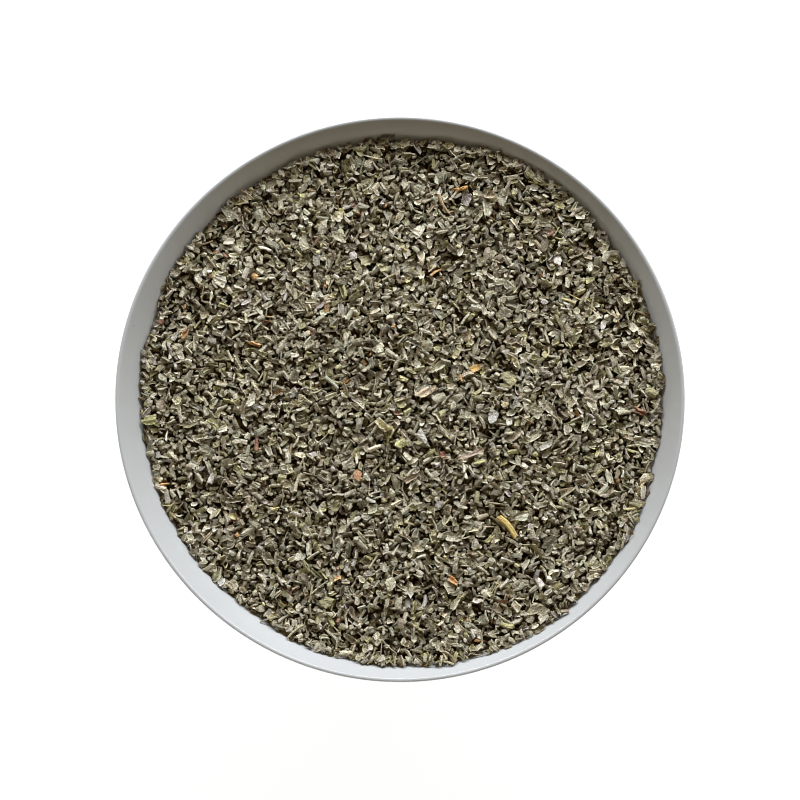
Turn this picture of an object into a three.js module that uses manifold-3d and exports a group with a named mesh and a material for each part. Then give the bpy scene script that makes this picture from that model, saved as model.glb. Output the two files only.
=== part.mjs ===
// A round white porcelain bowl, filled to just under its rim with dried, finely cut sage leaf.
// Millimetres, +Z up. The origin is on the ground under the middle of the bowl.
import * as THREE from "three";
import { mergeVertices } from "three/addons/utils/BufferGeometryUtils.js";
import Module from "manifold-3d";

// The bowl
const RIM_RADIUS = 60;
const BOWL_HEIGHT = 54;
const LIP_INNER_ROUNDING = 0.8;
const LIP_OUTER_ROUNDING = 0.3;
const BASE_THICKNESS = 4.2;
const WALL_LEAN = THREE.MathUtils.degToRad(40); // of the flared wall from upright, just under the lip
const BELLY_REACH = 20; // how strongly that lean carries on down the wall, before the belly curves in
const BELLY_FLARE = [19, 2.5]; // how far out, and up, the foot's top draws the wall before it turns up
const FOOT_TOP_RADIUS = 29;
const FOOT_HEIGHT = 5;
const FOOT_NECK = [0.6, 1.2]; // how far in, and down, the foot's side starts under its top
const FOOT_FLAT_OUTER = 27.8;
const FOOT_FLAT_INNER = 25.8;
const FOOT_ROUNDING = 0.7;
const RECESS_HEIGHT = 3.3; // of the ceiling inside the foot ring
const RECESS_LEAN = 1.6; // how far in the ring's inner side leans on its way up
const RECESS_DOME = 0.3; // rise of that ceiling at its middle
const FLOOR_HEIGHT = 7.8; // of the bowl's inside at its centre
const FLOOR_RISE = 0.3; // of the inside half way to the foot's top
const BOWL_SEGMENTS = 64;
const WALL_STEPS = 9; // straight steps in the wall's curve
const LIP_INNER_STEPS = 4;
const LIP_OUTER_STEPS = 3;

// The cut leaf in the bowl
const WALL_GAP = 0.4;
const BED_LEVEL = 50.1; // mean height of the leaf, about 4 under the rim
// The leaf lies in broad swells: lobes round the bowl, height at the wall, and the way one lobe faces
const SWELLS = [
  { lobes: 1, height: 0.9, facing: THREE.MathUtils.degToRad(-8) },
  { lobes: 2, height: 0.8, facing: THREE.MathUtils.degToRad(101) },
  { lobes: 3, height: 0.65, facing: THREE.MathUtils.degToRad(45) },
];
const CHIPS_ACROSS = 27; // cells in a row; a chip is about 3.7 across, larger than the real 1 to 3
const CHIP_JITTER = 0.37; // of a chip's pitch
const LONG_CHIPS = 0.45; // share of chips that run on over the next cell, if it is free
const ROW_WANDER = 0.05; // how far rows of chips stray, as a share of the bed's radius
const ROW_WAVE = 5; // how quickly they stray
const ROW_PHASE = 1; // radians between the straying of columns and of rows
const ROW_TWIST = 0.25; // radians that the middle of the rows is turned by
const CHIP_INSET = [0.66, 0.95]; // share of the way from a chip's middle to its cell's corner
const CHIP_TILT = 0.5; // steepest rise over run of a chip's face, less on a long chip
const CHIP_LIFT = 0.45; // most that a chip stands above or below the level
const GAP_DEPTH = [0.9, 1.7]; // of the gaps between chips, under the level
const BED_SIDE_STEPS = [7, 5, 3, 1, 0]; // steps of the wall's curve that the leaf's side follows
const STEM_COUNT = 11;
const STEM_LENGTH = [5, 9];
const STEM_RADIUS = [0.4, 0.6];
const STEM_TAPER = 0.75; // a stem's thin end as a share of its thick one
const STEM_SIDES = 5;
const STEM_RISE = 0.3; // of a stem's middle above the level
const STEM_SLOPE = 0.12; // radians
const CURL_COUNT = 11;
const CURL_LENGTH = [2.8, 4.6];
const CURL_RADIUS = [1.1, 1.6];
const CURL_THICKNESS = 0.65;
const CURL_SWEEP = [2.4, 3.9]; // radians that the curled leaf turns through
const CURL_STEPS = 5;
const CURL_RISE = -0.3; // of a curl's axis above the level
const CURL_ROLL = 1.2; // radians that a curl may lie over to either side
const CURL_SLOPE = 0.3; // radians
const SCATTER_RADIUS = 0.86; // stems and curls stay within this share of the bed's radius
const WELD_DISTANCE = 1e-4; // corners closer than this are one
const SEED = 7351;

const porcelain = new THREE.MeshStandardMaterial({ color: 0xe6e9ee, roughness: 0.14, metalness: 0 });
const driedSage = new THREE.MeshStandardMaterial({ color: 0x8f8b74, roughness: 0.92, metalness: 0 });

const wasm = await Module();
wasm.setup();

// A repeatable stream of numbers between 0 and 1
function seededRandom(seed) {
  const [factor, step, range] = [1664525, 1013904223, 2 ** 32];
  let state = seed;
  return () => {
    state = (state * factor + step) % range;
    return state / range;
  };
}

const random = seededRandom(SEED);
const between = ([low, high]) => low + (high - low) * random();
const spread = (most) => (random() * 2 - 1) * most;

// The lip is rounded widely on its inner side and tightly on its outer one. Both roundings end on the
// wall's own lean.
const lipRadius = RIM_RADIUS - LIP_OUTER_ROUNDING;
const lipPoint = (rounding, angle) =>
  new THREE.Vector2(Math.cos(angle), Math.sin(angle))
    .multiplyScalar(rounding)
    .add(new THREE.Vector2(lipRadius, BOWL_HEIGHT - rounding));
const wallTop = lipPoint(LIP_OUTER_ROUNDING, -WALL_LEAN);
const lipFoot = lipPoint(LIP_INNER_ROUNDING, Math.PI - WALL_LEAN);
const wallNormal = new THREE.Vector2(Math.cos(WALL_LEAN), -Math.sin(WALL_LEAN));
const lipThickness = wallTop.clone().sub(lipFoot).dot(wallNormal);
const wallCurve = new THREE.CubicBezierCurve(
  new THREE.Vector2(FOOT_TOP_RADIUS, FOOT_HEIGHT),
  new THREE.Vector2(FOOT_TOP_RADIUS + BELLY_FLARE[0], FOOT_HEIGHT + BELLY_FLARE[1]),
  new THREE.Vector2(Math.sin(WALL_LEAN), Math.cos(WALL_LEAN)).multiplyScalar(-BELLY_REACH).add(wallTop),
  wallTop
);

// The wall's inner side, from the floor up to the lip: the outer curve moved inwards by the wall's
// thickness there, and by a gap for what lies against it
function innerWall(gap) {
  const points = Array.from({ length: WALL_STEPS }, (_, i) => {
    const share = i / WALL_STEPS;
    const tangent = wallCurve.getTangent(share);
    const depth = THREE.MathUtils.lerp(BASE_THICKNESS, lipThickness, share) + gap;
    return wallCurve.getPoint(share).add(new THREE.Vector2(-tangent.y, tangent.x).multiplyScalar(depth));
  });
  points.push(lipFoot.clone().addScaledVector(wallNormal, -gap));
  return points;
}

// The bowl's section, from the middle of its floor over the lip to the middle of its underside
function bowlProfile() {
  const points = [
    new THREE.Vector2(0, FLOOR_HEIGHT),
    new THREE.Vector2(FOOT_TOP_RADIUS / 2, FLOOR_HEIGHT + FLOOR_RISE),
    ...innerWall(0),
  ];
  const top = Math.PI / 2;
  for (let i = 1; i <= LIP_INNER_STEPS; i++) {
    const angle = THREE.MathUtils.lerp(Math.PI - WALL_LEAN, top, i / LIP_INNER_STEPS);
    points.push(lipPoint(LIP_INNER_ROUNDING, angle));
  }
  for (let i = 1; i <= LIP_OUTER_STEPS; i++) {
    points.push(lipPoint(LIP_OUTER_ROUNDING, THREE.MathUtils.lerp(top, -WALL_LEAN, i / LIP_OUTER_STEPS)));
  }
  for (let i = WALL_STEPS - 1; i >= 0; i--) points.push(wallCurve.getPoint(i / WALL_STEPS));
  points.push(
    new THREE.Vector2(FOOT_TOP_RADIUS - FOOT_NECK[0], FOOT_HEIGHT - FOOT_NECK[1]),
    new THREE.Vector2(FOOT_FLAT_OUTER + FOOT_ROUNDING / 2, FOOT_ROUNDING),
    new THREE.Vector2(FOOT_FLAT_OUTER, 0),
    new THREE.Vector2(FOOT_FLAT_INNER, 0),
    new THREE.Vector2(FOOT_FLAT_INNER - FOOT_ROUNDING / 2, FOOT_ROUNDING),
    new THREE.Vector2(FOOT_FLAT_INNER - RECESS_LEAN, RECESS_HEIGHT),
    new THREE.Vector2(0, RECESS_HEIGHT + RECESS_DOME)
  );
  return points;
}

function makeBowl() {
  const geometry = new THREE.LatheGeometry(bowlProfile().reverse(), BOWL_SEGMENTS);
  geometry.rotateX(Math.PI / 2);
  return geometry;
}

const bedWall = innerWall(WALL_GAP);

// How far the leaf reaches towards the wall at a height
function reachAt(height) {
  const above = bedWall.findIndex((point) => point.y > height);
  const [low, high] = [bedWall[above - 1], bedWall[above]];
  return THREE.MathUtils.mapLinear(height, low.y, high.y, low.x, high.x);
}

// The height of the leaf at a share of the way to the wall, in a direction round the bowl
function levelAt(share, angle) {
  return SWELLS.reduce(
    (sum, { lobes, height, facing }) =>
      sum + height * share ** lobes * Math.cos(lobes * (angle - facing)),
    BED_LEVEL
  );
}

function bedRadiusAt(angle) {
  return reachAt(levelAt(1, angle) - GAP_DEPTH[1]);
}

// Lays a square of side 2 onto the round bed, so that rows of chips reach the wall all round. The
// rows wander and are twisted on the way, so that they don't show as rows.
function bedPoint(column, row, rise) {
  const stray = ROW_WANDER * (1 - column ** 2) * (1 - row ** 2);
  const a = column + stray * Math.sin(ROW_WAVE * row + ROW_PHASE);
  const b = row + stray * Math.sin(ROW_WAVE * column);
  const share = Math.max(Math.abs(a), Math.abs(b));
  let angle = 0;
  if (share > 0) {
    if (Math.abs(a) >= Math.abs(b)) angle = (Math.PI / 4) * (b / a) + (a < 0 ? Math.PI : 0);
    else angle = Math.PI / 2 - (Math.PI / 4) * (a / b) + (b < 0 ? Math.PI : 0);
  }
  angle += ROW_TWIST * (1 - share ** 2);
  const radius = share * bedRadiusAt(angle);
  return new THREE.Vector3(
    radius * Math.cos(angle),
    radius * Math.sin(angle),
    levelAt(share, angle) + rise
  );
}

// The corners of the chips' cells, shaken out of their rows, and sunk as the gaps between chips
function cellCorners() {
  const pitch = 2 / CHIPS_ACROSS;
  const corners = [];
  for (let row = 0; row <= CHIPS_ACROSS; row++) {
    for (let column = 0; column <= CHIPS_ACROSS; column++) {
      const onEdge = row % CHIPS_ACROSS === 0 || column % CHIPS_ACROSS === 0;
      const shake = onEdge ? 0 : CHIP_JITTER * pitch;
      const x = -1 + column * pitch + spread(shake);
      const y = -1 + row * pitch + spread(shake);
      corners.push(bedPoint(x, y, -between(GAP_DEPTH)));
    }
  }
  return corners;
}

const cornerIndex = (row, column) => row * (CHIPS_ACROSS + 1) + column;

// The outline of each chip's ground, anticlockwise, as corners of one cell or of two side by side
function chipGrounds() {
  const taken = new Set();
  const isFree = (row, column) =>
    row < CHIPS_ACROSS && column < CHIPS_ACROSS && !taken.has(cornerIndex(row, column));
  const grounds = [];
  for (let row = 0; row < CHIPS_ACROSS; row++) {
    for (let column = 0; column < CHIPS_ACROSS; column++) {
      if (!isFree(row, column)) continue;
      const long = random() < LONG_CHIPS;
      const upwards = random() < 0.5;
      let [endRow, endColumn] = [row + 1, column + 1];
      if (long && upwards && isFree(row + 1, column)) endRow++;
      else if (long && !upwards && isFree(row, column + 1)) endColumn++;
      taken.add(cornerIndex(endRow - 1, endColumn - 1));
      const ground = [];
      for (let c = column; c < endColumn; c++) ground.push(cornerIndex(row, c));
      for (let r = row; r < endRow; r++) ground.push(cornerIndex(r, endColumn));
      for (let c = endColumn; c > column; c--) ground.push(cornerIndex(endRow, c));
      for (let r = endRow; r > row; r--) ground.push(cornerIndex(r, column));
      // A long chip's corners start where its second and fifth are those between its two cells
      if (endRow - row === 2) ground.push(ground.shift());
      grounds.push(ground);
    }
  }
  return grounds;
}

// A closed solid of leaf: tilted angular chips on top, and the bowl's own curve beneath
function makeBed() {
  const points = cellCorners();
  const faces = [];
  const addQuad = (p, q, r, s) => faces.push(p, q, r, p, r, s);
  const gapMean = (GAP_DEPTH[0] + GAP_DEPTH[1]) / 2;

  for (const ground of chipGrounds()) {
    const middle = new THREE.Vector3();
    for (const index of ground) middle.addScaledVector(points[index], 1 / ground.length);
    const faceHeight = middle.z + gapMean + spread(CHIP_LIFT);
    const steepest = (CHIP_TILT * 4) / ground.length;
    const [riseX, riseY] = [spread(steepest), spread(steepest)];
    const first = points.length;
    for (const index of ground) {
      const point = middle.clone().lerp(points[index], between(CHIP_INSET));
      point.z = faceHeight + riseX * (point.x - middle.x) + riseY * (point.y - middle.y);
      points.push(point);
    }
    ground.forEach((index, side) => {
      const next = (side + 1) % ground.length;
      addQuad(index, ground[next], first + next, first + side);
    });
    if (ground.length === 6) addQuad(first + 1, first + 2, first + 3, first + 4);
    const last = first + ground.length - 1;
    addQuad(first, first + 1, last - 1, last);
  }

  // The edge of the top, anticlockwise, and rings below it down the bowl's inside
  let ring = [];
  for (let i = 0; i < CHIPS_ACROSS; i++) ring.push(cornerIndex(0, i));
  for (let i = 0; i < CHIPS_ACROSS; i++) ring.push(cornerIndex(i, CHIPS_ACROSS));
  for (let i = CHIPS_ACROSS; i > 0; i--) ring.push(cornerIndex(CHIPS_ACROSS, i));
  for (let i = CHIPS_ACROSS; i > 0; i--) ring.push(cornerIndex(i, 0));
  const edgeAngles = ring.map((index) => Math.atan2(points[index].y, points[index].x));
  for (const step of BED_SIDE_STEPS) {
    const { x: radius, y: height } = bedWall[step];
    const below = edgeAngles.map((angle) => {
      const [x, y] = [radius * Math.cos(angle), radius * Math.sin(angle)];
      return points.push(new THREE.Vector3(x, y, height)) - 1;
    });
    ring.forEach((index, i) => {
      const next = (i + 1) % ring.length;
      addQuad(index, below[i], below[next], ring[next]);
    });
    ring = below;
  }
  const bottom = points.push(new THREE.Vector3(0, 0, FLOOR_HEIGHT + WALL_GAP)) - 1;
  ring.forEach((index, i) => faces.push(bottom, ring[(i + 1) % ring.length], index));

  const geometry = new THREE.BufferGeometry().setFromPoints(points);
  geometry.setIndex(faces);
  return geometry;
}

// A place on the bed for a loose piece, some way above the level
function scatterPlace(rise) {
  const share = SCATTER_RADIUS * Math.sqrt(random());
  const angle = 2 * Math.PI * random();
  const radius = share * bedRadiusAt(angle);
  return new THREE.Matrix4().makeTranslation(
    radius * Math.cos(angle),
    radius * Math.sin(angle),
    levelAt(share, angle) + rise
  );
}

// A cut length of stem, lying almost flat with its ends in the chips
function makeStem() {
  const radius = between(STEM_RADIUS);
  const thin = radius * STEM_TAPER;
  const stem = new THREE.CylinderGeometry(radius, thin, between(STEM_LENGTH), STEM_SIDES);
  stem.rotateX(spread(STEM_SLOPE));
  stem.rotateZ(2 * Math.PI * random());
  return stem.applyMatrix4(scatterPlace(STEM_RISE));
}

// A piece of leaf that has dried into a curl, on its back or on its side
function makeCurl() {
  const radius = between(CURL_RADIUS);
  const sweep = between(CURL_SWEEP);
  const outline = new THREE.Shape();
  outline.absarc(0, 0, radius, 0, sweep, false);
  outline.absarc(0, 0, radius - CURL_THICKNESS, sweep, 0, true);
  const length = between(CURL_LENGTH);
  const curl = new THREE.ExtrudeGeometry(outline, {
    depth: length,
    bevelEnabled: false,
    curveSegments: CURL_STEPS,
  });
  curl.translate(0, 0, -length / 2);
  curl.rotateZ(Math.PI / 2 - sweep / 2 + spread(CURL_ROLL));
  curl.rotateX(Math.PI / 2 + spread(CURL_SLOPE));
  curl.rotateZ(2 * Math.PI * random());
  return curl.applyMatrix4(scatterPlace(CURL_RISE));
}

function toSolid(geometry) {
  const bare = geometry.clone();
  bare.deleteAttribute("normal");
  bare.deleteAttribute("uv");
  const merged = mergeVertices(bare, WELD_DISTANCE);
  return new wasm.Manifold(
    new wasm.Mesh({
      numProp: 3,
      vertProperties: new Float32Array(merged.attributes.position.array),
      triVerts: new Uint32Array(merged.index.array),
    })
  );
}

function toGeometry(solid) {
  const mesh = solid.getMesh();
  const geometry = new THREE.BufferGeometry();
  geometry.setAttribute("position", new THREE.BufferAttribute(mesh.vertProperties, 3));
  geometry.setIndex(new THREE.BufferAttribute(mesh.triVerts, 1));
  geometry.computeVertexNormals();
  return geometry;
}

// The bed with its stems and curls grown into it as one body
function makeCutSage() {
  let solid = toSolid(makeBed());
  for (let i = 0; i < STEM_COUNT; i++) solid = solid.add(toSolid(makeStem()));
  for (let i = 0; i < CURL_COUNT; i++) solid = solid.add(toSolid(makeCurl()));
  return toGeometry(solid);
}

function addPiece(group, name, geometry, material) {
  const mesh = new THREE.Mesh(geometry, material);
  mesh.name = name;
  group.add(mesh);
}

const bowlOfSage = new THREE.Group();
addPiece(bowlOfSage, "bowl", makeBowl(), porcelain);
addPiece(bowlOfSage, "cut_sage", makeCutSage(), driedSage);

export default bowlOfSage;
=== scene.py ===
import math

import bpy
import numpy as np
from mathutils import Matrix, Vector


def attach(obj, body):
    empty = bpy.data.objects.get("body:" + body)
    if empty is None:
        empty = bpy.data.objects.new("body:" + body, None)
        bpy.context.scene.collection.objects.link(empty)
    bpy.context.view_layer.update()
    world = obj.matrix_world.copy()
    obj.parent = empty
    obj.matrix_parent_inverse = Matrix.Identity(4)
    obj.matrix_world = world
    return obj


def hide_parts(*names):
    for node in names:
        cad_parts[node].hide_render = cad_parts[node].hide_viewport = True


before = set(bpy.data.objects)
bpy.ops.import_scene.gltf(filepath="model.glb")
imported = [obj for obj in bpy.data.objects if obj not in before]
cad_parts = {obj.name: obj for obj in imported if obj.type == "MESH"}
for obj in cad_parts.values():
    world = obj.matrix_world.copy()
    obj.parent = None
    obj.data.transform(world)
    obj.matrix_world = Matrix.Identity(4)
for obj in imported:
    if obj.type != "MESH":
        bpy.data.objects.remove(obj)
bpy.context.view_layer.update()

MM = 0.001

# The bowl, as in the construction
RIM_RADIUS = 60.0
BOWL_HEIGHT = 54.0
LIP_INNER_ROUNDING = 0.8
LIP_OUTER_ROUNDING = 0.3
BASE_THICKNESS = 4.2
WALL_LEAN = math.radians(40)
BELLY_REACH = 20.0
BELLY_FLARE = np.array([19.0, 2.5])
FOOT_TOP_RADIUS = 29.0
FOOT_HEIGHT = 5.0
FOOT_NECK = (0.6, 1.2)
FOOT_FLAT_OUTER = 27.8
FOOT_FLAT_INNER = 25.8
FOOT_ROUNDING = 0.7
RECESS_HEIGHT = 3.3
RECESS_LEAN = 1.6
RECESS_DOME = 0.3
FLOOR_HEIGHT = 7.8
FLOOR_CURVE = 2.4  # power of the radius that the floor rises by
FOOT_SOFTENING = (0.7, 0.35, 0.3, 0.3, 0.35, 0.8)  # of its corners, from the neck to the ceiling
LIP_CLEARANCE = 0.1  # of the wall's last step under the lip's rounding

# The leaf's level, as in the construction: lobes round the bowl, height at the wall, facing in degrees
BED_LEVEL = 50.1
SWELLS = ((1, 0.9, -8.0), (2, 0.8, 101.0), (3, 0.65, 45.0))
WALL_GAP = 0.05
SWELLS_END = 1.03  # share of the way to the wall, where the level stops changing

# The photograph's view; RIM_PIXELS is the rim's radius in it
VIEW_ELEVATION = math.radians(83.2)
VIEW_DISTANCE = 650.0
RIM_PIXELS = 284.94
IMAGE_PIXELS = 800
VIEW_CENTRE = Vector((0.0, -0.8, BOWL_HEIGHT))
SENSOR_WIDTH = 36.0

SEED = 4127
rng = np.random.default_rng(SEED)


# Bowl section

def lip_arc(rounding, start, end, steps):
    """Points on one of the lip's roundings; angles in degrees."""
    angles = np.radians(np.linspace(start, end, steps + 1))
    centre = np.array([RIM_RADIUS - LIP_OUTER_ROUNDING, BOWL_HEIGHT - rounding])
    return centre + rounding * np.stack([np.cos(angles), np.sin(angles)], 1)


LEAN_DEGREES = math.degrees(WALL_LEAN)
LIP_INSIDE = lip_arc(LIP_INNER_ROUNDING, 180 - LEAN_DEGREES, 90, 12)
LIP_OUTSIDE = lip_arc(LIP_OUTER_ROUNDING, 90, -LEAN_DEGREES, 8)
WALL_TOP = LIP_OUTSIDE[-1]
LIP_THICKNESS = (WALL_TOP - LIP_INSIDE[0]) @ np.array([math.cos(WALL_LEAN), -math.sin(WALL_LEAN)])


def outer_wall(share):
    """Points of the wall's outer side and its direction there, from the foot (0) to the lip (1)."""
    a = np.array([FOOT_TOP_RADIUS, FOOT_HEIGHT])
    b = a + BELLY_FLARE
    c = WALL_TOP - BELLY_REACH * np.array([math.sin(WALL_LEAN), math.cos(WALL_LEAN)])
    u = np.asarray(share, float)[:, None]
    v = 1 - u
    point = v**3 * a + 3 * v**2 * u * b + 3 * v * u**2 * c + u**3 * WALL_TOP
    way = 3 * v**2 * (b - a) + 6 * v * u * (c - b) + 3 * u**2 * (WALL_TOP - c)
    return point, way / np.linalg.norm(way, axis=1)[:, None]


def inner_wall(share, gap=0.0):
    point, way = outer_wall(share)
    thickness = BASE_THICKNESS + (LIP_THICKNESS - BASE_THICKNESS) * np.asarray(share)[:, None]
    inwards = np.stack([-way[:, 1], way[:, 0]], 1)
    return point + inwards * (thickness + gap)


def softened(corners, reaches, steps=4):
    """A line's inner corners as short curves, each starting and ending at its reach from the corner."""
    points = [corners[0]]
    u = np.linspace(0, 1, steps + 1)[:, None]
    for before, corner, after, reach in zip(corners, corners[1:], corners[2:], reaches):
        start = corner + reach * (before - corner) / np.linalg.norm(before - corner)
        end = corner + reach * (after - corner) / np.linalg.norm(after - corner)
        points += list((1 - u) ** 2 * start + 2 * u * (1 - u) * corner + u**2 * end)
    return np.array(points)


def foot_section():
    """The foot ring, from the wall's lower end to the ceiling inside it."""
    side_top = (FOOT_TOP_RADIUS - FOOT_NECK[0], FOOT_HEIGHT - FOOT_NECK[1])
    side_bottom = (FOOT_FLAT_OUTER + FOOT_ROUNDING / 2, FOOT_ROUNDING)
    inner_bottom = (FOOT_FLAT_INNER - FOOT_ROUNDING / 2, FOOT_ROUNDING)
    ceiling_edge = (FOOT_FLAT_INNER - RECESS_LEAN, RECESS_HEIGHT)
    corners = np.array(
        [
            (FOOT_TOP_RADIUS, FOOT_HEIGHT),
            side_top,
            side_bottom,
            (FOOT_FLAT_OUTER, 0.0),
            (FOOT_FLAT_INNER, 0.0),
            inner_bottom,
            ceiling_edge,
            (0.0, RECESS_HEIGHT + RECESS_DOME),
        ]
    )
    ring = softened(corners, FOOT_SOFTENING)
    radii = np.linspace(ceiling_edge[0], 0, 10)[1:]
    ceiling = RECESS_HEIGHT + RECESS_DOME * (1 - (radii / ceiling_edge[0]) ** 2)
    return np.concatenate([ring, np.stack([radii, ceiling], 1)])


def bowl_section():
    """Radius and height from the middle of the floor, over the lip, to the middle of the underside."""
    share = np.linspace(0, 1, 41)
    inside = inner_wall(share)
    inside = inside[inside[:, 1] < LIP_INSIDE[0, 1] - LIP_CLEARANCE]
    start = inside[0]
    floor_radii = np.linspace(0, start[0], 12)[:-1]
    floor_rise = (start[1] - FLOOR_HEIGHT) * (floor_radii / start[0]) ** FLOOR_CURVE
    floor = np.stack([floor_radii, FLOOR_HEIGHT + floor_rise], 1)
    outside = outer_wall(share[-2:0:-1])[0]
    return np.concatenate([floor, inside, LIP_INSIDE, LIP_OUTSIDE[1:], outside, foot_section()])


# Level of the leaf

WALL_LINE = inner_wall(np.linspace(0, 1, 400), WALL_GAP)


def wall_radius(height):
    """How far leaf may reach at a height."""
    return np.interp(height, WALL_LINE[:, 1], WALL_LINE[:, 0])


def level_by_share(share, angle):
    """The leaf's level at a share of the way from the middle to the wall."""
    height = BED_LEVEL
    for lobes, swell, facing in SWELLS:
        height = height + swell * share**lobes * np.cos(lobes * (angle - math.radians(facing)))
    return height


ALL_ROUND = np.linspace(-math.pi, math.pi, 721)
EDGES = wall_radius(level_by_share(1.0, ALL_ROUND))


def edge_radius(angle):
    """How far out the leaf's level meets the wall."""
    return np.interp(angle, ALL_ROUND, EDGES)


def level_at(x, y):
    angle = np.arctan2(y, x)
    share = np.minimum(np.hypot(x, y) / edge_radius(angle), SWELLS_END)
    return level_by_share(share, angle)


# Mesh making

def mesh_object(name, points, faces, smooth=False):
    """A mesh object from points in millimetres and a list of faces."""
    mesh = bpy.data.meshes.new(name)
    mesh.from_pydata((np.asarray(points) * MM).tolist(), [], faces)
    mesh.polygons.foreach_set("use_smooth", [smooth] * len(mesh.polygons))
    mesh.update()
    ob = bpy.data.objects.new(name, mesh)
    bpy.context.collection.objects.link(ob)
    return ob


def ring_points(radius, turn, height):
    """Points round the Z axis; the radius and the height may change from point to point."""
    return np.stack([radius * np.cos(turn), radius * np.sin(turn), height + 0 * turn], 1).tolist()


def ring_faces(rings, segments):
    """Faces over rings of points, with one point on the axis before the first and after the last."""
    faces = []
    last = 1 + (rings - 1) * segments
    for i in range(segments):
        j = (i + 1) % segments
        faces.append((0, 1 + i, 1 + j))
        for k in range(rings - 1):
            low, high = 1 + k * segments, 1 + (k + 1) * segments
            faces.append((low + i, high + i, high + j, low + j))
        faces.append((last + segments, last + j, last + i))
    return faces


def lathe(name, section, segments):
    """Turns a section round the Z axis; its first and last points are on the axis."""
    turn = np.linspace(0, 2 * math.pi, segments, endpoint=False)
    points = [[0, 0, section[0][1]]]
    for radius, height in section[1:-1]:
        points += ring_points(radius, turn, height)
    points.append([0, 0, section[-1][1]])
    return mesh_object(name, points, ring_faces(len(section) - 2, segments), smooth=True)


def flakes_object(name, points, faces, tints):
    """One mesh of like flakes: points and tints of each flake, and the faces of one."""
    count, corners = points.shape[:2]
    loops = np.concatenate([np.array(f) for f in faces])
    starts = np.concatenate([[0], np.cumsum([len(f) for f in faces])[:-1]])
    number = np.arange(count)[:, None]
    mesh = bpy.data.meshes.new(name)
    mesh.vertices.add(count * corners)
    mesh.vertices.foreach_set("co", (points * MM).ravel())
    mesh.loops.add(count * len(loops))
    mesh.loops.foreach_set("vertex_index", (loops[None] + number * corners).ravel())
    mesh.polygons.add(count * len(starts))
    mesh.polygons.foreach_set("loop_start", (starts[None] + number * len(loops)).ravel())
    mesh.polygons.foreach_set("use_smooth", np.zeros(count * len(starts), bool))
    mesh.update(calc_edges=True)
    mesh.validate()
    from_above = (points[..., :2] / (2 * RIM_RADIUS) + 0.5).reshape(-1, 2)
    layout = mesh.uv_layers.new(name="OFBake")
    layout.data.foreach_set("uv", from_above[(loops[None] + number * corners).ravel()].ravel())
    colour = mesh.color_attributes.new("tint", "FLOAT_COLOR", "POINT")
    rgba = np.concatenate([tints, np.ones((count, corners, 1))], 2)
    colour.data.foreach_set("color", rgba.ravel())
    ob = bpy.data.objects.new(name, mesh)
    bpy.context.collection.objects.link(ob)
    return ob


# Flake shapes, each as (points of every flake, faces of one flake, painted light and shade of every point)

SMALL_ONES = 1.5  # power of the draw for a size; over 1 makes more flakes small than large

# How pieces of leaf are bent and torn. Turns are in radians across a piece, and shares are of its size.
CURL_CHANGE = 0.25  # along a piece
C_CURLS = 0.5  # share of pieces that curl evenly
S_CURLS = 0.25  # share that curl both ways; the rest are folded to a V
V_SHARPNESS = 4
TAPER = 0.3
RIDGES = (0.8, 2.6)  # half waves in a piece's width
RIDGE_STRENGTHS = (0.3, 1.2)
MARGIN_POWER = 5  # how closely the raised margin keeps to the edge
END_MARGIN = 0.7  # of the raise at the sides
MARGIN_STRENGTHS = (0, 1.3)
RAGGED = 0.16
SKEW = 0.45
ARCH = 0.16
CORNER_LOSS = 0.42
CHIP_TURNS, CHIP_RIDGE, CHIP_MARGIN = (-1.6, 1.6), 0.06, 0.12
ROLL_TURNS, ROLL_RIDGE, ROLL_MARGIN, ROLL_ROUGHNESS = (1.4, 4.9), 0.05, 0.04, 0.035
ROLL_THICKNESS = (0.13, 0.26)
# painted light and shade on rolls: its strength by their ridges, and the factor that paints their
# undersides darker
ROLL_SHADE, ROLL_UNDERSIDE_SHADE = 0.3, 0.95
KEEL_DEPTHS = (0.07, 0.2)  # of a chip's lowest point under its upper side
KEEL_FOR_DISH = 2.8  # and more where the chip is hollow, for each mm of its mean rise to the border
# painted shade: the tint factor of a chip's low point underneath
KEEL_SHADE = 0.7

# Crumbs and stalks
CRUMB_WIDTHS, CRUMB_HEIGHTS = (0.5, 0.95), (0.4, 0.8)  # as shares of the length
CRUMB_BUMPS = (0.62, 1.25)
CRUMB_SHADES = (0.55, 0.48)  # painted shade and light: lightness in the deepest dent, and more for each share that a bump stands out
STALK_TAPER = 0.4
STALK_BEND = 0.1
STALK_GROOVES = (0.74, 1.12)
STALK_ROUGHNESS = (0.93, 1.07)
STALK_FLATNESS = 0.85
STALK_TORN_ENDS = 0.25
# painted shade and light: lightness at the axis, and more for each share of the radius that a side stands
# out, so grooves are darker
STALK_SHADES = (0.2, 0.85)


def jitter(*shape):
    return rng.uniform(-1, 1, shape)


def sizes(low_high, count):
    """A size for each flake, more of them small than large."""
    low, high = low_high
    return low + (high - low) * rng.random((count, 1, 1)) ** SMALL_ONES


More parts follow.
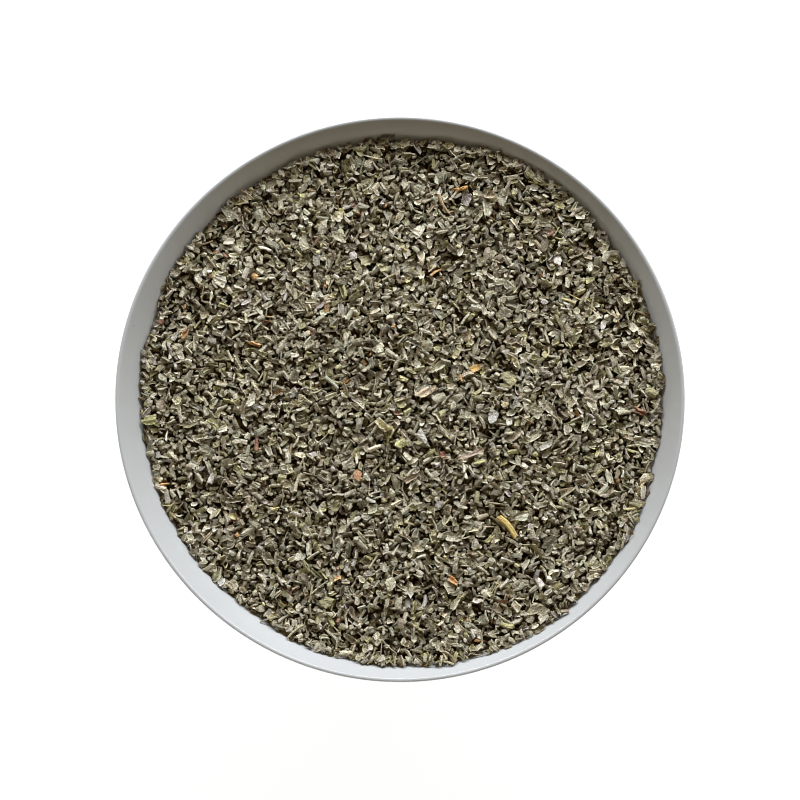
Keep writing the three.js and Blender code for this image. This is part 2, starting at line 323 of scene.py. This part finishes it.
def blade(count, along, across, length, width, turning, ridge, rim, rough):
    """Upper sides of pieces of leaf: length along X, curled about X, ridged along it, with a raised margin.
    Gives places, section normals and how far each point stands out, as flakes by rows by points."""
    u = np.linspace(-1, 1, along + 1)[None, :, None]
    v = np.linspace(-1, 1, across + 1)[None, None, :]
    turn = rng.uniform(*turning, (count, 1, 1)) * (1 + CURL_CHANGE * jitter(count, along + 1, 1))
    kind = rng.random((count, 1, 1))

    def heading(place):
        bent = np.where(kind < C_CURLS + S_CURLS, 1.6 * place**2 - 0.5, np.tanh(V_SHARPNESS * place))
        return turn / 2 * np.where(kind < C_CURLS, place, bent)

    middle = heading((v[..., 1:] + v[..., :-1]) / 2)
    half = sizes(width, count) / 2 * (1 - TAPER * jitter(count, 1, 1) * u)
    nothing = np.zeros((count, along + 1, 1))
    y = half * np.concatenate([nothing, np.cumsum(np.cos(middle), 2)], 2) * 2 / across
    z = half * np.concatenate([nothing, np.cumsum(np.sin(middle), 2)], 2) * 2 / across
    y -= y.mean(2, keepdims=True)
    z -= z.mean(2, keepdims=True)
    ny, nz = -np.sin(heading(v)), np.cos(heading(v))
    waves = rng.uniform(*RIDGES, (count, 1, 1))
    phase = rng.uniform(0, 2 * math.pi, (count, 1, 1))
    lift = ridge * np.cos(math.pi * waves * v + phase) * rng.uniform(*RIDGE_STRENGTHS, (count, 1, 1))
    margin = rim * (np.abs(v) ** MARGIN_POWER + END_MARGIN * np.abs(u) ** MARGIN_POWER)
    lift = lift + margin * rng.uniform(*MARGIN_STRENGTHS, (count, 1, 1))
    lift = lift + rough * jitter(count, along + 1, across + 1)
    y, z = y + ny * lift, z + nz * lift
    long = sizes(length, count) / 2
    x = long * (u + RAGGED * jitter(count, along + 1, across + 1)) + SKEW * jitter(count, 1, 1) * y
    z = z + ARCH * jitter(count, 1, 1) * long * u**2
    corner = (np.abs(u) == 1) & (np.abs(v) == 1)
    keep = 1 - CORNER_LOSS * rng.random(x.shape) * corner
    places = np.stack([x * keep, y * keep, z], 3)
    normals = np.stack([np.zeros_like(ny), ny, nz], 3)
    return places, normals, lift


def grid_faces(along, across):
    """Quads of a grid's upper side, and its border, anticlockwise."""
    row = across + 1
    quads = [
        (i * row + j, (i + 1) * row + j, (i + 1) * row + j + 1, i * row + j + 1)
        for i in range(along)
        for j in range(across)
    ]
    border = [i * row for i in range(along)] + [along * row + j for j in range(across)]
    border += [i * row + across for i in range(along, 0, -1)] + list(range(across, 0, -1))
    return quads, border


def shade_of(lift, strength):
    """Painted light and shade: ridges and margins that stand out are painted lighter, and creases darker.
    """
    return np.clip(1 + strength * lift / 0.1, 0.5, 1.5)


def chip_shapes(count, length, width, along, across, rough, strength):
    """Chips of leaf, closed underneath by a low point."""
    bent = CHIP_TURNS, CHIP_RIDGE, CHIP_MARGIN, rough
    places, _, lift = blade(count, along, across, length, width, *bent)
    places = places.reshape(count, -1, 3)
    quads, border = grid_faces(along, across)
    lowest = places[..., 2].min(1, keepdims=True)
    dished = (places[:, border, 2].mean(1, keepdims=True) - places[..., 2].mean(1, keepdims=True)).clip(0)
    keel = places.mean(1, keepdims=True)
    keel[..., 2] = lowest - KEEL_FOR_DISH * dished - rng.uniform(*KEEL_DEPTHS, (count, 1))
    points = np.concatenate([places, keel], 1)
    bottom = points.shape[1] - 1
    faces = quads + [(border[(i + 1) % len(border)], border[i], bottom) for i in range(len(border))]
    shade = shade_of(lift.reshape(count, -1), strength)
    shade = np.concatenate([shade, np.full((count, 1), KEEL_SHADE)], 1)
    return points, faces, shade


def roll_shapes(count, length, width, along, across):
    """Leaf dried into C, S and V folds and rolls, with a thickness all over."""
    bent = ROLL_TURNS, ROLL_RIDGE, ROLL_MARGIN, ROLL_ROUGHNESS
    places, normals, lift = blade(count, along, across, length, width, *bent)
    under = places - normals * rng.uniform(*ROLL_THICKNESS, (count, 1, 1, 1))
    points = np.concatenate([places.reshape(count, -1, 3), under.reshape(count, -1, 3)], 1)
    quads, border = grid_faces(along, across)
    beneath = places[0].size // 3
    faces = quads + [tuple(beneath + corner for corner in reversed(quad)) for quad in quads]
    for i, a in enumerate(border):
        b = border[(i + 1) % len(border)]
        faces.append((b, a, beneath + a, beneath + b))
    shade = shade_of(lift.reshape(count, -1), ROLL_SHADE)
    return points, faces, np.concatenate([shade, ROLL_UNDERSIDE_SHADE * shade], 1)


def crumb_shapes(count, low, high):
    """Granular crumbs: a squashed, uneven solid of twenty faces."""
    t = (1 + 5**0.5) / 2
    ball = np.array(
        [[-1, t, 0], [1, t, 0], [-1, -t, 0], [1, -t, 0], [0, -1, t], [0, 1, t],
         [0, -1, -t], [0, 1, -t], [t, 0, -1], [t, 0, 1], [-t, 0, -1], [-t, 0, 1]]
    ) / math.hypot(1, t)
    faces = [(0, 11, 5), (0, 5, 1), (0, 1, 7), (0, 7, 10), (0, 10, 11), (1, 5, 9), (5, 11, 4),
             (11, 10, 2), (10, 7, 6), (7, 1, 8), (3, 9, 4), (3, 4, 2), (3, 2, 6), (3, 6, 8),
             (3, 8, 9), (4, 9, 5), (2, 4, 11), (6, 2, 10), (8, 6, 7), (9, 8, 1)]
    size = rng.uniform(low, high, (count, 1, 1))
    across, upright = rng.uniform(*CRUMB_WIDTHS, count), rng.uniform(*CRUMB_HEIGHTS, count)
    squash = np.stack([np.ones(count), across, upright], 1)
    bumps = rng.uniform(*CRUMB_BUMPS, (count, len(ball), 1))
    points = ball[None] * size / 2 * squash[:, None, :] * bumps
    return points, faces, CRUMB_SHADES[0] + CRUMB_SHADES[1] * bumps[..., 0]


def stalk_shapes(count, radius, length, sides=6, rings=4):
    """Cut lengths of stalk and vein along X, slightly bent and tapered, with squared ends."""
    thick = rng.uniform(*radius, (count, 1, 1))
    long = sizes(length, count)
    x = np.linspace(-0.5, 0.5, rings)[None, :, None] * long
    taper = 1 - rng.uniform(0, STALK_TAPER, (count, 1, 1)) * np.linspace(0, 1, rings)[None, :, None]
    turn = 2 * math.pi * np.arange(sides) / sides
    bend = jitter(count, 1, 1) * STALK_BEND * x**2 / long * 4
    groove = rng.uniform(*STALK_GROOVES, (count, 1, sides))
    rough = groove * rng.uniform(*STALK_ROUGHNESS, (count, rings, sides))
    y = bend + thick * taper * rough * np.cos(turn)
    z = thick * taper * rough * np.sin(turn) * STALK_FLATNESS
    xs = x + STALK_TORN_ENDS * thick * jitter(count, rings, sides)
    points = np.stack([xs, y, z], 3).reshape(count, rings * sides, 3)
    faces = []
    for k in range(rings - 1):
        for i in range(sides):
            j = (i + 1) % sides
            faces.append((k * sides + i, k * sides + j, (k + 1) * sides + j, (k + 1) * sides + i))
    faces.append(tuple(range(sides - 1, -1, -1)))
    faces.append(tuple((rings - 1) * sides + i for i in range(sides)))
    return points, faces, (STALK_SHADES[0] + STALK_SHADES[1] * rough).reshape(count, -1)


# Placing flakes: each one falls on what lies there already

def turn_matrices(angles, axis):
    """A matrix for each angle that turns about an axis, 0 for X to 2 for Z."""
    a, b = (axis + 1) % 3, (axis + 2) % 3
    matrices = np.zeros((3, 3, len(angles)))
    matrices[axis, axis] = 1
    matrices[a, a] = matrices[b, b] = np.cos(angles)
    matrices[b, a] = np.sin(angles)
    matrices[a, b] = -matrices[b, a]
    return matrices


def turned(points, yaw, tilt, roll, roll_first_about_x):
    """Turns each flake about its own axis, tips it, and turns it round the vertical."""
    first = turn_matrices(roll, 0 if roll_first_about_x else 2)
    full = np.einsum("abn,bcn,cdn->nad", turn_matrices(yaw, 2), turn_matrices(tilt, 1), first)
    return np.einsum("nab,nvb->nva", full, points)


class Heap:
    """Heights of the heap on a square grid, which grows as flakes land."""

    PITCH = 0.25
    HALF = 61.0
    SINK = 86  # percentile of a flake's points that clear what is below, so that flakes nest
    LUMP = 0.45  # of the low mounds and hollows that the leaf settles in
    LUMP_WIDTH = 5.0
    CREST_REACH = 1.25  # how far round a place the leaf counts that stands over it
    NUDGE = 0.02  # by which a flake is moved further off the wall than it stood over it

    def __init__(self, depth):
        side = int(2 * self.HALF / self.PITCH)
        axis = (np.arange(side) + 0.5) * self.PITCH - self.HALF
        self.side = side
        self.x, self.y = np.meshgrid(axis, axis, indexing="xy")
        self.level = (level_at(self.x, self.y) + self.lumps(axis)).ravel()
        self.height = self.level - depth

    def lumps(self, axis):
        """Low mounds and hollows: random heights on a coarse grid, smoothed."""
        knots = np.arange(-self.HALF, self.HALF + self.LUMP_WIDTH, self.LUMP_WIDTH)
        heights = self.LUMP * rng.normal(size=(len(knots), len(knots)))
        rows = np.array([np.interp(axis, knots, row) for row in heights])
        grid = np.array([np.interp(axis, knots, column) for column in rows.T]).T
        width = int(self.LUMP_WIDTH / self.PITCH / 2)
        return self.running(grid, width, np.mean)

    def running(self, grid, reach, what):
        """The mean or the most in a square window round each cell."""
        for axis in (0, 1):
            pad = [(reach, reach) if a == axis else (0, 0) for a in (0, 1)]
            padded = np.pad(grid, pad, mode="edge")
            grid = what(np.lib.stride_tricks.sliding_window_view(padded, 2 * reach + 1, axis), axis=-1)
        return grid

    def crests(self):
        """The level of the leaf that stands round each cell."""
        reach = int(self.CREST_REACH / self.PITCH)
        highest = self.running(self.height.reshape(self.side, self.side), reach, np.max)
        return self.running(highest, reach, np.mean).ravel()

    def cells(self, x, y):
        """The numbers of the cells that hold these places."""
        column = ((x + self.HALF) / self.PITCH).astype(int)
        row = ((y + self.HALF) / self.PITCH).astype(int)
        return row * self.side + column

    def rest(self, samples, x, y):
        """Where a flake at x, y comes to rest, kept clear of the wall."""
        for _ in range(3):
            cells = self.cells(samples[:, 0] + x, samples[:, 1] + y)
            gaps = self.height[cells] - samples[:, 2]
            gaps.sort()
            z = gaps[int(len(gaps) * self.SINK / 100)]
            reach = np.hypot(samples[:, 0] + x, samples[:, 1] + y)
            over = (reach - wall_radius(samples[:, 2] + z)).max()
            if over <= 0:
                break
            radius = math.hypot(x, y)
            x, y = x * (1 - (over + self.NUDGE) / radius), y * (1 - (over + self.NUDGE) / radius)
        top = z + samples[:, 2].max() - self.level[self.cells(np.float64(x), np.float64(y))]
        return x, y, z, over <= 0, top

    def land(self, samples, x, y, z):
        """Raises the heap by a flake that came to rest."""
        cells = self.cells(samples[:, 0] + x, samples[:, 1] + y)
        np.maximum.at(self.height, cells, samples[:, 2] + z)


def samples_of(points, faces):
    """Each flake's points with the middles of its faces, which stand for its surface in the heap."""
    middles = np.stack([points[:, list(f)].mean(1) for f in faces], 1)
    return np.concatenate([points, middles], 1)


# Tints of the leaf, as linear colours with the share of flakes that has each

LEAF_TINTS = (
    ((0.735, 0.69, 0.52), 0.25),  # grey-green
    ((0.785, 0.715, 0.54), 0.29),  # warm grey
    ((0.92, 0.86, 0.70), 0.19),  # woolly and pale
    ((0.58, 0.53, 0.31), 0.09),  # olive
    ((0.57, 0.48, 0.35), 0.10),  # brown-grey
    ((0.75, 0.69, 0.37), 0.03),  # yellow-green
    ((0.80, 0.74, 0.67), 0.04),  # lilac-grey
    ((0.86, 0.52, 0.25), 0.004),  # orange
    ((0.50, 0.27, 0.19), 0.004),  # red-brown
)
STALK_TINTS = (
    ((0.86, 0.76, 0.54), 0.50),  # beige
    ((0.76, 0.70, 0.48), 0.32),  # grey straw
    ((0.55, 0.41, 0.26), 0.13),  # brown
    ((0.89, 0.76, 0.40), 0.05),  # straw
)
PAINTED_GAP_SHADE = np.array([0.15, 0.10, 0.03])  # painted shade: what the leaf's colours are multiplied by in the deepest gaps
PAINTED_SHADE_DEPTHS = (0.45, 1.7)  # under the leaf round about, where the painted shade starts and where it is full
WALL_SHADE = (1.3, 1.9)  # for painted shade at the wall, leaf beside it counts as this much deeper, from this far off the wall
FLAKE_SPREAD = 0.2  # of the lightness from flake to flake
HUE_SPREAD = 0.02
CORNER_SPREAD = 0.1  # of the lightness within a flake


def pick_tints(count, shade, family):
    """A tint for each flake, a little lighter or darker from flake to flake, with the painted light and
    shade of its shape.
    """
    colours = np.array([c for c, _ in family])
    shares = np.array([s for _, s in family])
    chosen = colours[rng.choice(len(colours), count, p=shares / shares.sum())]
    per_flake = rng.normal(1.0, FLAKE_SPREAD, (count, 1)).clip(0.5, 1.6)
    hue = 1 + HUE_SPREAD * jitter(count, 3)
    per_corner = shade[..., None] * (1 + CORNER_SPREAD * jitter(count, shade.shape[1], 1))
    return (chosen * per_flake * hue)[:, None] * per_corner


def paint_gap_shade(tints, depth):
    """Painted shade: leaf deep between other pieces is painted darker and browner."""
    share = np.clip((depth - PAINTED_SHADE_DEPTHS[0]) / (PAINTED_SHADE_DEPTHS[1] - PAINTED_SHADE_DEPTHS[0]), 0, 1)[..., None]
    return tints * (1 - share + share * PAINTED_GAP_SHADE)


# The kinds of flakes: sizes in millimetres

def small_chips(count):
    return chip_shapes(count, (0.95, 2.3), (0.65, 1.5), 3, 3, 0.07, 0.35)


def large_chips(count):
    return chip_shapes(count, (2.1, 3.7), (1.4, 2.4), 6, 5, 0.08, 0.25)


# Name, number, shape maker with its sizes, how they lie, tint family
KINDS = (
    ("leaf_chips", 9500, small_chips, "flat", LEAF_TINTS),
    ("leaf_rolls", 6600, lambda n: roll_shapes(n, (0.95, 2.9), (0.8, 2.1), 2, 5), "rolled", LEAF_TINTS),
    ("leaf_crumbs", 9000, lambda n: crumb_shapes(n, 0.5, 1.5), "any", LEAF_TINTS),
    ("leaf_plates", 560, large_chips, "flat", LEAF_TINTS),
    ("stalk_bits", 1500, lambda n: stalk_shapes(n, (0.13, 0.3), (1.2, 4.6)), "rolled", STALK_TINTS),
)
FLAT_TILT = math.radians(28)  # spread of the tilt of flakes that lie flat
STANDING, STANDING_TILTS = 0.1, (0.9, 1.5)  # share of them that stand on edge, and their tilt in radians
ROLLED_TILT = math.radians(18)
LARGE_LAST = 0.05  # how much later in the order a flake lands, for each mm of its size
TRIES = 3  # places that each flake tries; it takes the one where it lies lowest
HEAP_DEPTH = 2.0  # of the flakes over the core
HIGHEST = 0.85  # that a flake may stand over the level
WALL_TURN = 8  # every such flake tries the band beside the wall, as the others seldom land there
WALL_BAND, WALL_PRESS = 2.2, 0.6  # width of that band, and how far past the leaf's edge it starts
HIDDEN = 0.45  # flakes this far under the leaf over them are left out
MOST_TRIANGLES = 190_000  # in one piece


# Pieces that stand out on top: name, form, x, y, length, width, direction in degrees, tint
STANDOUTS = (
    ("stalk_straw", "stalk", 22.9, -27.1, 5.6, 1.3, -50, (1.0, 0.74, 0.28)),
    ("stalk_tan", "stalk", 9.1, 41.6, 4.6, 0.8, -62, (0.90, 0.65, 0.40)),
    ("stalk_pale", "stalk", 6.7, -16.7, 4.2, 0.7, -41, (0.97, 0.93, 0.70)),
    ("stalk_grey", "stalk", -14.4, 3.5, 3.6, 0.8, -42, (0.93, 0.93, 0.78)),
    ("stalk_beige", "stalk", -21.8, -17.7, 4.0, 0.8, 70, (0.95, 0.85, 0.62)),
    ("sliver_pink", "chip", 14.8, -12.0, 5.4, 0.9, 20, (0.92, 0.74, 0.60)),
    ("chip_tan", "chip", 5.6, 1.5, 4.3, 1.7, 33, (1.0, 0.80, 0.57)),
    ("chip_salmon", "chip", -8.9, -16.4, 2.0, 1.6, 80, (0.93, 0.53, 0.32)),
    ("chip_orange", "chip", 16.0, 6.5, 2.1, 1.4, 25, (1.0, 0.64, 0.25)),
    ("chip_red_brown", "chip", 9.1, -12.2, 1.9, 1.5, -70, (0.56, 0.30, 0.22)),
    ("chip_yellow", "chip", 0.2, -9.7, 2.3, 1.8, 30, (0.85, 0.80, 0.38)),
    ("chip_white", "chip", 19.7, -4.0, 2.8, 1.9, 75, (0.92, 0.89, 0.82)),
    ("chip_olive", "chip", -53.2, -4.6, 3.0, 1.8, 10, (0.56, 0.54, 0.26)),
    ("crust_white", "chip", -37.6, -38.8, 1.7, 1.2, 40, (0.97, 0.95, 0.88)),
    ("curl_orange", "roll", 13.1, 45.0, 2.8, 2.2, 15, (1.0, 0.58, 0.22)),
    ("curl_beige", "roll", -3.8, -5.7, 3.2, 2.4, -45, (0.95, 0.86, 0.60)),
)
STANDOUT_LIFT = 0.12  # over where it would nest
STANDOUT_TILT = 4.0  # degrees


def standout_shape(form, length, width):
    if form == "stalk":
        return stalk_shapes(1, (width / 2, width / 2), (length, length))
    if form == "roll":
        return roll_shapes(1, (length, length), (width, width), 3, 7)
    return chip_shapes(1, (length, length), (width, width), 5, 4, 0.05, 0.25)


def make_standouts(heap):
    """Name, points, faces and tints of each single piece, laid on the finished heap."""
    made = []
    for name, form, x, y, length, width, direction, tint in STANDOUTS:
        points, faces, shade = standout_shape(form, length, width)
        yaw, tilt, level = np.radians([[direction], [STANDOUT_TILT], [0.0]])
        points = turned(points, yaw, tilt, level, form != "chip")
        samples = samples_of(points, faces)
        x, y, z, _, _ = heap.rest(samples[0], x, y)
        place = np.array([x, y, z + STANDOUT_LIFT])
        heap.land(samples[0], *place)
        made.append((name, points + place, faces, np.array(tint) * shade[..., None]))
    return made


def tilts_of(lie, count):
    if lie != "flat":
        return rng.normal(0, ROLLED_TILT, count)
    tilt = np.abs(rng.normal(0, FLAT_TILT, count))
    standing = rng.random(count) < STANDING
    return np.where(standing, rng.uniform(*STANDING_TILTS, count), tilt)


def best_place(heap, samples, beside_wall):
    """Where a flake lies lowest of the places that it tries, or None where it fits at none."""
    best = None
    for _ in range(TRIES):
        angle = rng.uniform(-math.pi, math.pi)
        if beside_wall:
            radius = edge_radius(angle) + WALL_PRESS - WALL_BAND * rng.random()
        else:
            radius = math.sqrt(rng.random()) * edge_radius(angle)
        x, y, z, clear, top = heap.rest(samples, radius * math.cos(angle), radius * math.sin(angle))
        if clear and top < HIGHEST and (best is None or top < best[0]):
            best = (top, x, y, z)
    return best and best[1:]


def make_flakes():
    """The flakes of every kind that show, with their tints, and the single pieces on top."""
    heap = Heap(HEAP_DEPTH)
    kinds, order = [], []
    for number, (name, count, make, lie, family) in enumerate(KINDS):
        points, faces, shade = make(count)
        yaw = rng.uniform(0, 2 * math.pi, count)
        roll = rng.uniform(0, 2 * math.pi, count)
        points = turned(points, yaw, tilts_of(lie, count), roll, lie != "flat")
        samples = samples_of(points, faces)
        tints = pick_tints(count, shade, family)
        kinds.append((name, points, faces, tints, samples, np.zeros(count, bool)))
        size = np.ptp(points, axis=1).max(1)
        order += [(key, number, i) for i, key in enumerate(rng.random(count) + LARGE_LAST * size)]
    order.sort()
    for _, number, i in order:
        name, points, _, _, samples, placed = kinds[number]
        place = best_place(heap, samples[i], i % WALL_TURN == 0 and name != "leaf_crumbs")
        if place is None:
            continue
        heap.land(samples[i], *place)
        points[i] += place
        samples[i] += place
        placed[i] = True
    standouts = make_standouts(heap)
    crests = heap.crests()
    flakes = []
    for name, points, faces, tints, samples, placed in kinds:
        cells = heap.cells(samples[placed][..., 0], samples[placed][..., 1])
        seen = (samples[placed][..., 2] - heap.height[cells]).max(1) > -HIDDEN
        placed[np.flatnonzero(placed)[~seen]] = False
        x, y, z = np.moveaxis(points[placed], 2, 0)
        off_wall = wall_radius(z) - np.hypot(x, y)
        # how deep the painted shade goes: under the crests round about, and more beside the wall
        depth = crests[heap.cells(x, y)] - z + WALL_SHADE[0] * np.clip(1 - off_wall / WALL_SHADE[1], 0, 1)
        flakes.append((name, points[placed], faces, paint_gap_shade(tints[placed], depth)))
    return flakes, standouts


# Materials

def new_material(name):
    material = bpy.data.materials.new(name)
    material.use_nodes = True
    tree = material.node_tree
    return material, tree, tree.nodes["Principled BSDF"]


def node(tree, kind, **values):
    """A node with its settings by name; keys that are input names go to the inputs."""
    made = tree.nodes.new(kind)
    for key, value in values.items():
        if key in made.inputs:
            made.inputs[key].default_value = value
        else:
            setattr(made, key, value)
    return made


def noise(tree, coordinates, scale, detail=3.0, roughness=0.55):
    made = node(tree, "ShaderNodeTexNoise", Scale=scale, Detail=detail, Roughness=roughness)
    tree.links.new(coordinates, made.inputs["Vector"])
    return made.outputs["Fac"]


def stretched(tree, value, low, high, to_low, to_high):
    made = node(tree, "ShaderNodeMapRange")
    for key, number in zip(("From Min", "From Max", "To Min", "To Max"), (low, high, to_low, to_high)):
        made.inputs[key].default_value = number
    tree.links.new(value, made.inputs["Value"])
    return made.outputs["Result"]


def multiplied(tree, colour, factor):
    """A colour made lighter or darker by a number."""
    made = node(tree, "ShaderNodeVectorMath", operation="SCALE")
    tree.links.new(colour, made.inputs[0])
    tree.links.new(factor, made.inputs["Scale"])
    return made.outputs["Vector"]


def leaf_material():
    material, tree, shader = new_material("dried_sage_leaf")
    place = node(tree, "ShaderNodeTexCoord").outputs["Object"]
    tint = node(tree, "ShaderNodeAttribute", attribute_name="tint").outputs["Color"]
    blotches = stretched(tree, noise(tree, place, 1400.0), 0.3, 0.7, 0.8, 1.25)
    specks = stretched(tree, noise(tree, place, 3600.0, 2.0), 0.35, 0.68, 0.66, 1.24)
    colour = multiplied(tree, multiplied(tree, tint, blotches), specks)
    tree.links.new(colour, shader.inputs["Base Color"])
    shader.inputs["Roughness"].default_value = 0.88
    shader.inputs["Specular IOR Level"].default_value = 0.25
    shader.inputs["Sheen Weight"].default_value = 0.12
    shader.inputs["Sheen Roughness"].default_value = 0.5
    pebbles = node(tree, "ShaderNodeTexVoronoi", Scale=3800.0, feature="SMOOTH_F1")
    tree.links.new(place, pebbles.inputs["Vector"])
    bump = node(tree, "ShaderNodeBump", Strength=0.8, Distance=0.00014)
    tree.links.new(pebbles.outputs["Distance"], bump.inputs["Height"])
    tree.links.new(bump.outputs["Normal"], shader.inputs["Normal"])
    return material


def porcelain_material():
    material, tree, shader = new_material("white_porcelain")
    place = node(tree, "ShaderNodeTexCoord").outputs["Object"]
    cloudy = stretched(tree, noise(tree, place, 45.0), 0.3, 0.7, 0.0, 1.0)
    ramp = node(tree, "ShaderNodeMix", data_type="RGBA")
    ramp.inputs["A"].default_value = (0.735, 0.74, 0.75, 1)
    ramp.inputs["B"].default_value = (0.775, 0.78, 0.785, 1)
    tree.links.new(cloudy, ramp.inputs["Factor"])
    pins = node(tree, "ShaderNodeTexVoronoi", Scale=62.0)
    tree.links.new(place, pins.inputs["Vector"])
    pinholes = stretched(tree, pins.outputs["Distance"], 0.006, 0.012, 0.55, 1.0)
    glaze = multiplied(tree, ramp.outputs["Result"], pinholes)
    height = node(tree, "ShaderNodeSeparateXYZ")
    tree.links.new(place, height.inputs["Vector"])
    glazed = stretched(tree, height.outputs["Z"], 0.0003, 0.0006, 0.0, 1.0)
    body = node(tree, "ShaderNodeMix", data_type="RGBA")
    body.inputs["A"].default_value = (0.66, 0.60, 0.52, 1)
    tree.links.new(glazed, body.inputs["Factor"])
    tree.links.new(glaze, body.inputs["B"])
    tree.links.new(body.outputs["Result"], shader.inputs["Base Color"])
    gloss = stretched(tree, height.outputs["Z"], 0.0003, 0.0006, 0.8, 0.14)
    tree.links.new(gloss, shader.inputs["Roughness"])
    shader.inputs["IOR"].default_value = 1.5
    wave = node(tree, "ShaderNodeBump", Strength=0.12, Distance=0.0004)
    tree.links.new(noise(tree, place, 220.0, 2.0), wave.inputs["Height"])
    tree.links.new(wave.outputs["Normal"], shader.inputs["Normal"])
    return material


def floor_material():
    material, tree, shader = new_material("pale_floor")
    shader.inputs["Base Color"].default_value = (0.18, 0.18, 0.18, 1)
    shader.inputs["Roughness"].default_value = 0.9
    shader.inputs["Emission Color"].default_value = (1, 1, 1, 1)
    shader.inputs["Emission Strength"].default_value = 0.93
    return material


# Pieces

def dress(ob, material, slot, *nodes):
    """Gives a piece its material and body, and hides the nodes that it stands for."""
    ob.data.materials.append(material)
    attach(ob, "root")
    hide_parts(*nodes)


CORE_MARGIN = 0.6  # between the core's top and the wall
CORE_ROUGHNESS = 0.35
CORE_SIDES = (0.75, 0.5, 0.3, 0.15, 0.0)  # shares of the wall's height that the core's side follows
CORE_SIDE_GAP = 0.35
CORE_FLOOR_GAP = 0.4
# painted shade: the core's near-black colour, which shows as the dark deep in the gaps
CORE_PAINTED_SHADE = (0.04, 0.032, 0.022, 1.0)


def make_core(material):
    """The body of leaf under the flakes, filling the bowl from its floor, painted near black as the shade
    deep in the heap.
    """
    rings, segments = 60, 180
    turn = np.linspace(-math.pi, math.pi, segments, endpoint=False)
    points = [[0, 0, float(level_by_share(0.0, 0.0)) - HEAP_DEPTH]]
    edge = wall_radius(level_by_share(1.0, turn) - HEAP_DEPTH) - CORE_MARGIN
    for share in np.arange(1, rings + 1) / rings:
        reach = share * edge
        level = level_at(reach * np.cos(turn), reach * np.sin(turn))
        points += ring_points(reach, turn, level - HEAP_DEPTH + CORE_ROUGHNESS * jitter(segments))
    for radius, height in inner_wall(np.array(CORE_SIDES), CORE_SIDE_GAP):
        points += ring_points(radius, turn, height)
    points.append([0, 0, FLOOR_HEIGHT + CORE_FLOOR_GAP])
    faces = ring_faces(rings + len(CORE_SIDES), segments)
    core = mesh_object("leaf_core", points, faces)
    colour = core.data.color_attributes.new("tint", "FLOAT_COLOR", "POINT")
    colour.data.foreach_set("color", CORE_PAINTED_SHADE * len(core.data.vertices))
    dress(core, material, "dried_sage", "cut_sage")


def make_sage(material):
    """The single pieces, then each kind of flake, in as many pieces as its triangles need."""
    flakes, standouts = make_flakes()
    for standout in standouts:
        dress(flakes_object(*standout), material, "dried_sage", "cut_sage")
    for name, points, faces, tints in flakes:
        each = sum(len(f) - 2 for f in faces)
        parts = math.ceil(len(points) * each / MOST_TRIANGLES)
        for part in range(parts):
            label = name if parts == 1 else f"{name}_{part + 1}"
            ob = flakes_object(label, points[part::parts], faces, tints[part::parts])
            dress(ob, material, "dried_sage", "cut_sage")


def make_bowl(material):
    bowl = lathe("bowl_porcelain", bowl_section(), 256)
    dress(bowl, material, "porcelain", "bowl")


FLOOR_HALF = 1500.0
FLOOR_GAP = 0.1  # under the foot


def make_floor():
    half = FLOOR_HALF
    corners = [[-half, -half, 0], [half, -half, 0], [half, half, 0], [-half, half, 0]]
    floor = mesh_object("floor", corners, [(0, 1, 2, 3)])
    floor.location.z = -FLOOR_GAP * MM
    floor.data.materials.append(floor_material())


# Camera and light

def make_camera():
    data = bpy.data.cameras.new("camera")
    camera = bpy.data.objects.new("camera", data)
    bpy.context.collection.objects.link(camera)
    back = Vector((0.0, -math.cos(VIEW_ELEVATION), math.sin(VIEW_ELEVATION)))
    camera.location = (VIEW_CENTRE + back * VIEW_DISTANCE) * MM
    camera.rotation_euler = (math.pi / 2 - VIEW_ELEVATION, 0.0, 0.0)
    seen_width = 2 * RIM_RADIUS * IMAGE_PIXELS / (2 * RIM_PIXELS)
    data.sensor_width = SENSOR_WIDTH
    data.lens = data.sensor_width * VIEW_DISTANCE / seen_width
    data.clip_start, data.clip_end = 0.01, 10.0
    bpy.context.scene.camera = camera


def area_light(name, azimuth, elevation, distance, size, power, colour):
    """A soft box aimed at the middle of the bowl's rim; metres, watts, and degrees from +X towards +Y."""
    a, e = math.radians(azimuth), math.radians(elevation)
    out = Vector((math.cos(a) * math.cos(e), math.sin(a) * math.cos(e), math.sin(e)))
    data = bpy.data.lights.new(name, "AREA")
    data.shape = "RECTANGLE"
    data.size, data.size_y = size
    data.energy = power
    data.color = colour
    light = bpy.data.objects.new(name, data)
    bpy.context.collection.objects.link(light)
    aim = Vector((0.0, 0.0, BOWL_HEIGHT)) * MM
    light.location = aim + out * distance
    light.rotation_euler = out.to_track_quat("Z", "Y").to_euler()


def make_light():
    """A wide soft box low behind the bowl, a faint low one in front, and a dim warm room."""
    area_light("key", 83, 26.5, 0.9, (1.5, 0.42), 14.1, (0.905, 0.955, 1.0))
    area_light("low_front", 245, -4, 0.35, (0.7, 0.04), 0.5, (0.95, 0.975, 1.0))
    world = bpy.data.worlds.new("soft_room")
    world.use_nodes = True
    background = world.node_tree.nodes["Background"]
    background.inputs["Color"].default_value = (1.0, 0.85, 0.58, 1)
    background.inputs["Strength"].default_value = 0.12
    bpy.context.scene.world = world
    bpy.context.scene.view_settings.view_transform = "Standard"
    bpy.context.scene.cycles.filter_width = 1.0


make_camera()
make_floor()
make_bowl(porcelain_material())
leaf = leaf_material()
make_core(leaf)
make_sage(leaf)
make_light()
